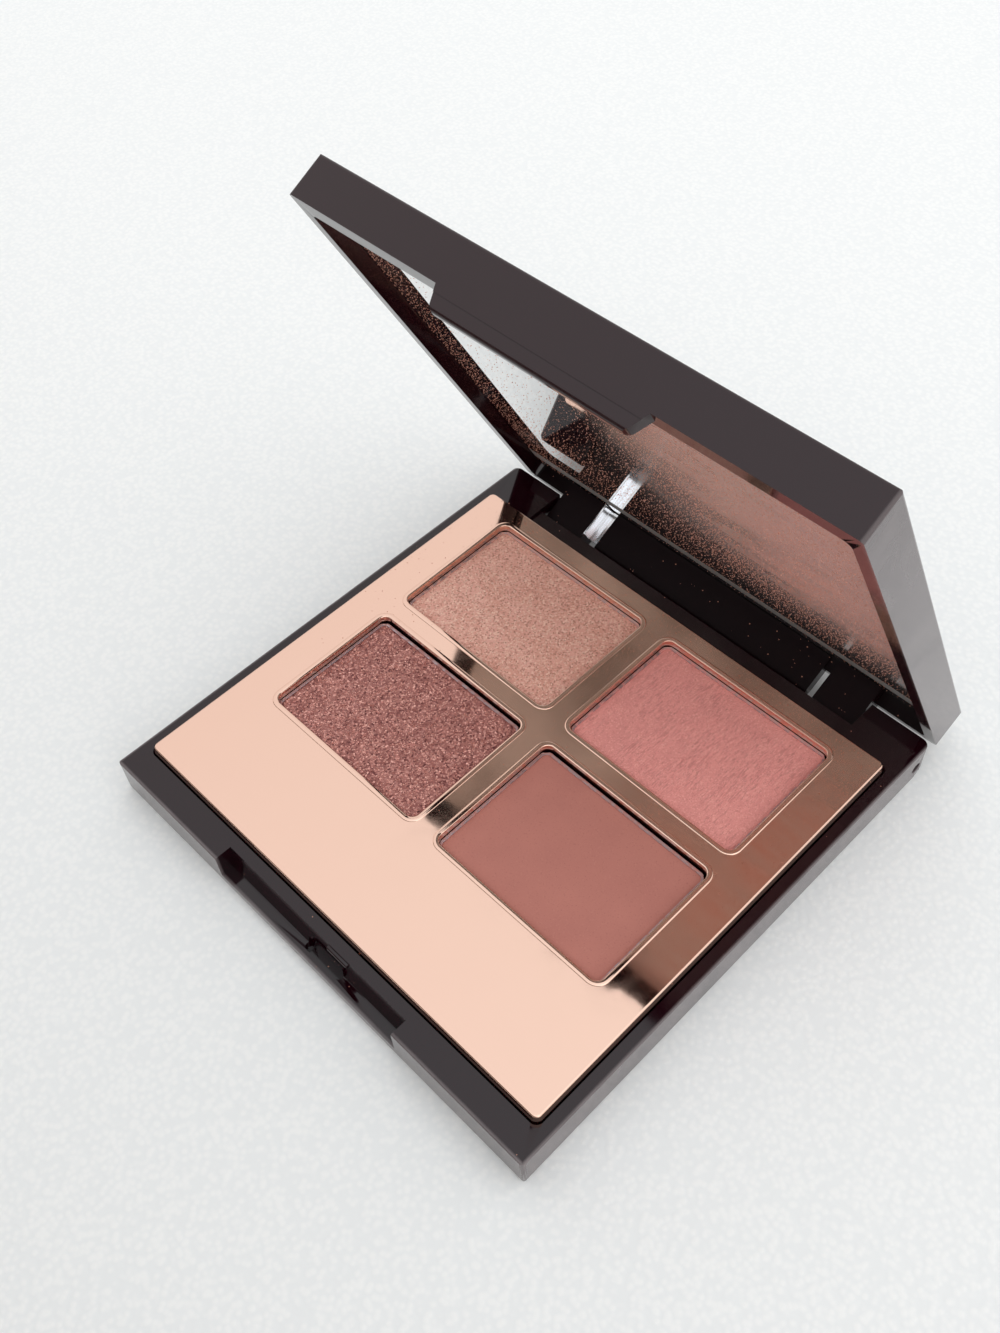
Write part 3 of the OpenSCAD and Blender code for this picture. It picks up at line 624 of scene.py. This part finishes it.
# height of the powder above its mean level, in millimetres
def cakeRelief(x, y, halfWidth, halfDepth, look, draw):
    height = np.zeros_like(x)
    for wavelength, share in cake["waves"] + ((look["grain"], 1.0),):
        for _ in range(cake["wavesEach"]):
            turn, phase = draw.uniform(0, 2 * math.pi), draw.uniform(0, 2 * math.pi)
            along = x * math.cos(turn) + y * math.sin(turn)
            length = wavelength * draw.uniform(*cake["spread"])
            height += share * np.sin(along * 2 * math.pi / length + phase) / cake["wavesEach"]
    height *= look["relief"]
    for _ in range(look["scuffs"]):  # short scratches left by a brush, most of them right of the middle
        cx, cy = (draw.normal(middle, reach) for middle, reach in zip(scuff["middle"], scuff["reach"]))
        turn = math.radians(draw.normal(scuff["turn"], scuff["turnReach"]))
        length, width, depth = (draw.uniform(*scuff[size]) for size in ("length", "width", "depth"))
        along = (x - cx) * math.cos(turn) + (y - cy) * math.sin(turn)
        across = -(x - cx) * math.sin(turn) + (y - cy) * math.cos(turn)
        mark = depth * np.exp(-(along / length) ** 2)
        burr = scuff["burr"] * np.exp(-((across - scuff["burrPlace"] * width) / width) ** 2)
        height += mark * (burr - np.exp(-(across / width) ** 2))
    edge = np.minimum(halfWidth - np.abs(x), halfDepth - np.abs(y))
    return height - cake["edgeDrop"] * np.exp(-(np.maximum(edge, 0) / cake["edgeRound"]) ** 2)


def makePowder(spot, look, number):
    low, high = (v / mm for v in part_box("powder_" + spot))
    halfWidth, halfDepth = (high.x - low.x) / 2, (high.y - low.y) / 2
    cx, cy, radius = (low.x + high.x) / 2, (low.y + high.y) / 2, cake["cornerRadius"]
    columns, rows = cake["columns"], cake["rows"]
    x, y = np.meshgrid(np.linspace(-halfWidth, halfWidth, columns), np.linspace(-halfDepth, halfDepth, rows))
    a = np.maximum(np.abs(x) - (halfWidth - radius), 0) / radius
    b = np.maximum(np.abs(y) - (halfDepth - radius), 0) / radius
    inCorner = (a > 0) & (b > 0)
    pull = np.where(inCorner, np.maximum(a, b) / np.maximum(np.hypot(a, b), 1e-9), 1.0)
    x = np.where(inCorner, np.sign(x) * (halfWidth - radius + radius * a * pull), x)
    y = np.where(inCorner, np.sign(y) * (halfDepth - radius + radius * b * pull), y)
    relief = cakeRelief(x, y, halfWidth, halfDepth, look, np.random.default_rng(cake["seed"] + number))
    top = np.minimum(high.z - cake["sink"] + relief, high.z)
    bm = bmesh.new()
    grid = [[bm.verts.new(((cx + x[j, i]) * mm, (cy + y[j, i]) * mm, top[j, i] * mm)) for i in range(columns)]
            for j in range(rows)]
    for j in range(rows - 1):
        for i in range(columns - 1):
            bm.faces.new((grid[j][i], grid[j][i + 1], grid[j + 1][i + 1], grid[j + 1][i]))
    brink = grid[0][:] + [row[-1] for row in grid[1:]] + grid[-1][-2::-1] + [row[0] for row in grid[-2:0:-1]]
    foot = [bm.verts.new((v.co.x, v.co.y, low.z * mm)) for v in brink]
    bridge(bm, foot, brink)
    bm.faces.new(reversed(foot))
    bmesh.ops.triangulate(bm, faces=[f for f in bm.faces if len(f.verts) > 4])
    return newPiece("pressed_powder_" + spot, bm, pressedPowder("pressedPowder_" + spot, look), "base",
                    slotOf("powder_" + spot), "powder_" + spot)


def slotOf(node):
    return next(s["material_slot"] for s in frame["record"]["subparts"] if s["node"] == node)


# sizes of the grains, in shares of full size, and how far round one may lie
strewn = dict(sizes=(0.55, 1.25), turn=6.283)


# small plates or crumbs strewn over a bed, thick or thin as the bed's "share" says
def scatterTree():
    tree = bpy.data.node_groups.new("strewnGrains", "GeometryNodeTree")
    tree.interface.new_socket("Bed", in_out="INPUT", socket_type="NodeSocketGeometry")
    for title, kind in (("Sides", "Int"), ("Radius", "Float"), ("Thickness", "Float"),
                        ("Grains per Square Metre", "Float"), ("Tilt", "Float"), ("Seed", "Int"),
                        ("Finish", "Material")):
        tree.interface.new_socket(title, in_out="INPUT", socket_type="NodeSocket" + kind)
    tree.interface.new_socket("Grains", in_out="OUTPUT", socket_type="NodeSocketGeometry")
    given = addNode(tree, "NodeGroupInput").outputs
    share = addNode(tree, "GeometryNodeInputNamedAttribute", {"Name": "share"}, data_type="FLOAT")
    density = addNode(tree, "ShaderNodeMath", (share, given["Grains per Square Metre"]), operation="MULTIPLY")
    points = addNode(tree, "GeometryNodeDistributePointsOnFaces",
                     {"Mesh": given["Bed"], "Density": density, "Seed": given["Seed"]})
    grain = addNode(tree, "GeometryNodeMeshCylinder", {"Vertices": given["Sides"], "Radius": given["Radius"],
                                                       "Depth": given["Thickness"]}, fill_type="NGON")
    lean = addNode(tree, "ShaderNodeMath", (given["Tilt"], -1.0), operation="MULTIPLY")
    least = addNode(tree, "ShaderNodeCombineXYZ", (lean, lean, 0.0))
    most = addNode(tree, "ShaderNodeCombineXYZ", (given["Tilt"], given["Tilt"], strewn["turn"]))
    turn = addNode(tree, "FunctionNodeRandomValue", {0: least, 1: most, "Seed": given["Seed"]},
                   data_type="FLOAT_VECTOR")
    smallest, largest = strewn["sizes"]
    size = addNode(tree, "FunctionNodeRandomValue", {0: smallest, 1: largest, "Seed": given["Seed"]},
                   data_type="FLOAT")
    laid = addNode(tree, "GeometryNodeInstanceOnPoints",
                   {"Points": points, "Instance": grain, "Rotation": turn, "Scale": size})
    solid = addNode(tree, "GeometryNodeRealizeInstances", {"Geometry": laid})
    finished = addNode(tree, "GeometryNodeSetMaterial", {"Geometry": solid, "Material": given["Finish"]})
    addNode(tree, "NodeGroupOutput", {"Grains": finished})
    return tree


def strew(name, look, bed, share, body, slot):
    shares = bed.attributes.new("share", "FLOAT", "POINT")
    shares.data.foreach_set("value", np.asarray(share, dtype=np.float32).ravel())
    chosen = {"Sides": look["sides"], "Radius": look["size"] / 2 * mm, "Thickness": look["thickness"] * mm,
              "Grains per Square Metre": look["count"] * 1e6, "Tilt": math.radians(look["tilt"]),
              "Seed": look["seed"], "Finish": coatedMica("coatedMica_" + name, look)}
    carrier = bpy.data.objects.new("grainBed", bed)
    bpy.context.scene.collection.objects.link(carrier)
    modifier = carrier.modifiers.new("strewnGrains", "NODES")
    modifier.node_group = scatter
    for item in scatter.interface.items_tree:
        if item.item_type == "SOCKET" and item.name in chosen:
            modifier[item.identifier] = chosen[item.name]
    bpy.context.view_layer.update()
    mesh = bpy.data.meshes.new_from_object(carrier.evaluated_get(bpy.context.evaluated_depsgraph_get()))
    bpy.data.objects.remove(carrier)
    mesh.name = name
    addPiece(name, mesh, body, slot)
    print(name, len(mesh.polygons), "faces")


# the rolled rim nearly fills its window
def flareRim(pan):
    low, high = (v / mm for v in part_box(pan))
    finish = tinplate(pan, powders[pan.removeprefix("pan_")]["colour"])
    piece = brokenEdges(pan, pan.replace("pan_", "pan_drawn_"), finish, "base", "pan_metal", edgeBreak["pan"])
    for vertex in piece.data.vertices:
        if vertex.co.z / mm > high.z - rim["depth"]:
            for axis in (0, 1):
                place, half = vertex.co[axis] / mm, (high[axis] - low[axis]) / 2
                middle = (high[axis] + low[axis]) / 2
                if abs(place - middle) > half - rim["width"]:
                    vertex.co[axis] += math.copysign(rim["flare"], place - middle) * mm


scatter = scatterTree()
for number, (spot, look) in enumerate(powders.items()):
    flareRim("pan_" + spot)
    powder = makePowder(spot, look, number)
    if spot in grains:
        share = np.zeros(len(powder.data.vertices))
        top = np.zeros((cake["rows"], cake["columns"]))
        bare, flakes = cake["bareRows"], grains[spot]  # none at the very edge
        top[bare:-bare, bare:-bare] = np.linspace(1, flakes["backShare"], cake["rows"] - 2 * bare)[:, None]
        share[:top.size] = top.ravel()
        strew("mica_flakes_" + spot, flakes, powder.data.copy(), share, "base", slotOf("powder_" + spot))
    smoothShading(powder, angle=60)
print("pans and powders made")

# powder on the glass, by millimetres up it from the hinge
drift = dict(cells=60, margin=0.3, foot=1.5, head=60.5, rightFrom=-14, rightWidth=26, rightLow=5,
             rightRise=16, rightLeast=0.12, leftFrom=-26, leftWidth=3, leftShare=0.5,
             middleHeights=(4, 6, 20, 32, 60), middleShares=(0.1, 0.3, 0.34, 0.1, 0.06), waves=12,
             waveTurn=0.5, uneven=0.6, seed=11)

brokenEdges("mirror_glass", "mirror_pane", mirrorSilver, "lid", "mirror", edgeBreak["glass"])


# crumbs of powder on the glass: thick on the right, thin on the left, few in the middle
def dustMirror():
    low, high = (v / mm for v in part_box("mirror_glass"))
    columns = rows = drift["cells"]
    across, up = np.meshgrid(np.linspace(low.x + drift["margin"], high.x - drift["margin"], columns),
                             np.linspace(drift["foot"], drift["head"], rows))
    tilt = math.radians(glass["tilt"])
    points = np.stack([across, glass["hingeY"] - up * math.cos(tilt),
                       glass["hingeZ"] + up * math.sin(tilt)], -1)
    faces = [(i + j * columns, i + 1 + j * columns, i + 1 + (j + 1) * columns, i + (j + 1) * columns)
             for j in range(rows - 1) for i in range(columns - 1)]
    bed = bpy.data.meshes.new("grainBed")
    bed.from_pydata((points.reshape(-1, 3) * mm).tolist(), [], faces)
    draw, waves = np.random.default_rng(drift["seed"]), drift["waves"]
    settings = zip(draw.normal(0, drift["waveTurn"], waves), draw.normal(0, drift["waveTurn"], waves),
                   draw.uniform(0, 6.3, waves))
    patches = sum(np.sin(across * a + up * b + c) for a, b, c in settings) / waves
    right = (np.clip((across - drift["rightFrom"]) / drift["rightWidth"], 0, 1)
             * np.clip((up - drift["rightLow"]) / drift["rightRise"], drift["rightLeast"], 1))
    left = np.clip((drift["leftFrom"] - across) / drift["leftWidth"], 0, 1) * drift["leftShare"]
    middle = np.interp(up, drift["middleHeights"], drift["middleShares"])
    share = np.clip(np.maximum(right, np.maximum(left, middle)) * (1 + drift["uneven"] * patches), 0, 1)
    strew("mirror_dust", grains["mirror"], bed, share, "lid", "mirror")


dustMirror()
brokenEdges("hinge_leaf", "hinge_strip", leafSteel, "lid", "steel", edgeBreak["leaf"])
brokenEdges("hinge_pin_left", "pin_left", pinSteel, "base", "steel", edgeBreak["pin"])
brokenEdges("hinge_pin_right", "pin_right", pinSteel, "base", "steel", edgeBreak["pin"])
brokenEdges("base_label", "label_film", labelFilm, "base", "label", edgeBreak["label"])
for name in [n for n in frame["nodes"] if n.startswith("pan_pad") or n == "mirror_adhesive"]:
    mesh = frame["nodes"][name].data
    mesh.materials.clear()
    mesh.materials.append(adhesive)
print("mirror, hinge and small parts made")

bpy.context.view_layer.update()
